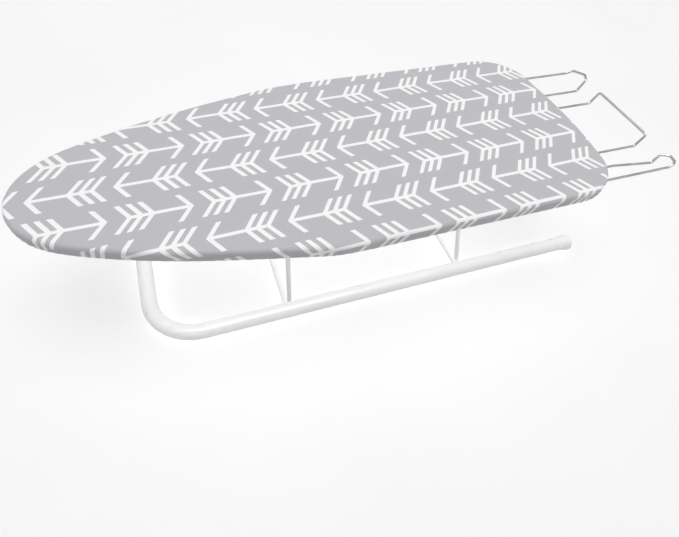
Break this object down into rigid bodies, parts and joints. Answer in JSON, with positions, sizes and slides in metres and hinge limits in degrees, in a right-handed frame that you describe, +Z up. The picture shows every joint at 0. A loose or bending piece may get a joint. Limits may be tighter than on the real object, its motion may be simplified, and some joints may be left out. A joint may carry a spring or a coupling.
{
  "type": "tabletop ironing board",
  "caption": "Tabletop ironing board on a low folding tube base, with padded printed cover, slide-out wire iron rest and an over-the-door hook.",
  "frame": {"origin": "on the table, under the middle of the whole object, iron rest pulled out", "axes": "+X from the nose to the heel of the board, +Y to the far side, +Z up from the table"},
  "size_m": [0.8585, 0.319, 0.1597],
  "materials": {
    "white_paint": "satin white powder coat",
    "white_plastic": "satin moulded plastic",
    "foot_rubber": "matte light grey rubber",
    "hook_paint": "satin white powder coat",
    "deck_steel": "silver grey powder coat",
    "zinc_steel": "bright zinc plate",
    "felt": "needled felt",
    "foam": "open-cell foam",
    "cover_cotton": "printed grey cotton, matt",
    "hem_cotton": "gathered grey cotton, matt",
    "cord": "braided elastic",
    "chrome_wire": "polished"
  },
  "bodies": {
    "base": {"base_tube": "white_paint", "end_cap_near": "white_plastic", "end_cap_far": "white_plastic", "foot_pad_near": "foot_rubber", "foot_pad_far": "foot_rubber", "hook_strap": "hook_paint", "hook_clip": "hook_paint", "hook_rivets": "hook_paint"},
    "front_leg": {"front_cross_rod": "white_paint", "front_leg_wire": "white_paint"},
    "rear_leg": {"rear_cross_rod": "white_paint", "rear_leg_wire": "white_paint"},
    "board": {"rim_frame": "deck_steel", "mesh_deck": "deck_steel", "front_cross_rail": "deck_steel", "rear_cross_rail": "deck_steel", "front_bracket_near": "zinc_steel", "front_bracket_far": "zinc_steel", "rear_bracket_near": "zinc_steel", "rear_bracket_far": "zinc_steel", "bracket_rivets": "zinc_steel", "rest_guide": "deck_steel", "felt_underlay": "felt", "foam_pad": "foam", "cover": "cover_cotton", "cover_hem": "hem_cotton", "hem_cord": "cord"},
    "iron_rest": {"rest_loop_near": "chrome_wire", "rest_loop_middle": "chrome_wire", "rest_loop_far": "chrome_wire", "rest_cross_bar": "chrome_wire"}
  },
  "joints": [
    {"name": "leg_fold", "type": "hinge", "parent": "base", "child": "front_leg", "pos_m": [-0.1395, 0, 0.012], "axis": [0, 1, 0], "range_deg": [0, 79]},
    {"name": "board_pivot", "type": "hinge", "parent": "front_leg", "child": "board", "pos_m": [-0.1334, 0, 0.1418], "axis": [0, 1, 0], "range_deg": [-79, 0]},
    {"name": "rear_leg_fold", "type": "hinge", "parent": "base", "child": "rear_leg", "pos_m": [0.1185, 0, 0.012], "axis": [0, 1, 0], "range_deg": [0, 79]},
    {"name": "iron_rest_slide", "type": "slide", "parent": "board", "child": "iron_rest", "axis": [1, 0, 0], "range_m": [-0.08, 0]}
  ],
  "couplings": [
    {"joint": "board_pivot", "follows": "leg_fold", "ratio": -1},
    {"joint": "rear_leg_fold", "follows": "leg_fold", "ratio": 1}
  ]
}
